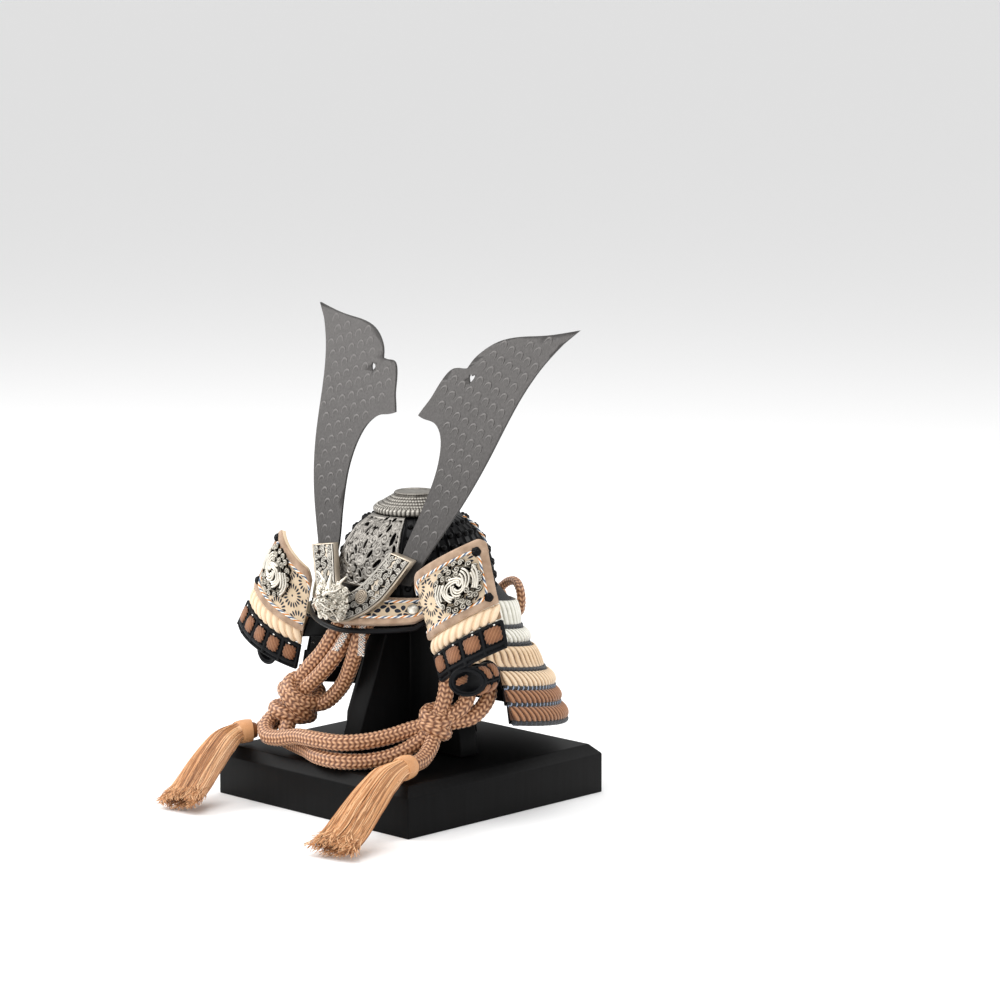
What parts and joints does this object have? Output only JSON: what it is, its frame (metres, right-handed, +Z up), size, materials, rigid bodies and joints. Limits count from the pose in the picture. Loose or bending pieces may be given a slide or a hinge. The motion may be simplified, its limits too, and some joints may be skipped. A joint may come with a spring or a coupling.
{
  "type": "kabuto samurai helmet on a wooden display stand",
  "caption": "Miniature samurai helmet with silver crest holder, tall flat horns, leather turn-backs, laced neck guard and tasselled chin cord, on a black wooden stand.",
  "frame": {"origin": "on the floor under the axis of the stand, at the middle of the slab's underside", "axes": "+Z up, the helmet looks along -Y, +X is the helmet's own left"},
  "size_m": [0.191, 0.209, 0.2459],
  "materials": {
    "black_wood": "satin black lacquer over wood",
    "black_lacquer": "gloss black lacquer",
    "antique_silver": "antiqued silver plate, darkened in the recesses",
    "gunmetal": "satin gunmetal",
    "printed_leather": "cream leather printed in navy",
    "white_silk": "matt twisted silk",
    "cream_silk": "matt twisted silk",
    "brown_silk": "matt twisted silk",
    "cord_silk": "round braided silk",
    "tassel_silk": "loose shiny silk threads"
  },
  "bodies": {
    "root": {"stand_base": "black_wood", "stand_post": "black_wood", "bowl": "black_lacquer", "front_plate": "antique_silver", "crown_ornament": "antique_silver", "visor": "printed_leather", "visor_rim": "black_lacquer", "visor_bead_left": "antique_silver", "visor_bead_right": "antique_silver", "crest_holder": "antique_silver", "holder_boss_left": "antique_silver", "holder_boss_right": "antique_silver", "dragon_head": "antique_silver", "horn_left": "gunmetal", "horn_right": "gunmetal", "turnback_left": "printed_leather", "turnback_medallion_left": "antique_silver", "turnback_stud_upper_left": "black_lacquer", "turnback_stud_lower_left": "black_lacquer", "turnback_lacing_left": "cream_silk", "turnback_lame_left": "black_lacquer", "turnback_curl_left": "black_lacquer", "turnback_right": "printed_leather", "turnback_medallion_right": "antique_silver", "turnback_stud_upper_right": "black_lacquer", "turnback_stud_lower_right": "black_lacquer", "turnback_lacing_right": "cream_silk", "turnback_lame_right": "black_lacquer", "turnback_curl_right": "black_lacquer", "neck_shoulder": "black_lacquer", "neck_plate_1": "black_lacquer", "neck_lacing_1": "white_silk", "neck_plate_2": "black_lacquer", "neck_lacing_2": "white_silk", "neck_plate_3": "black_lacquer", "neck_lacing_3": "cream_silk", "neck_plate_4": "black_lacquer", "neck_lacing_4": "cream_silk", "neck_plate_5": "black_lacquer", "neck_lacing_5": "brown_silk", "neck_plate_6": "black_lacquer", "neck_lacing_6": "brown_silk", "chin_cord": "cord_silk", "tassel_left": "tassel_silk", "tassel_right": "tassel_silk", "tie_left": "cream_silk", "tie_right": "cream_silk", "rear_bow": "cord_silk"}
  },
  "joints": []
}
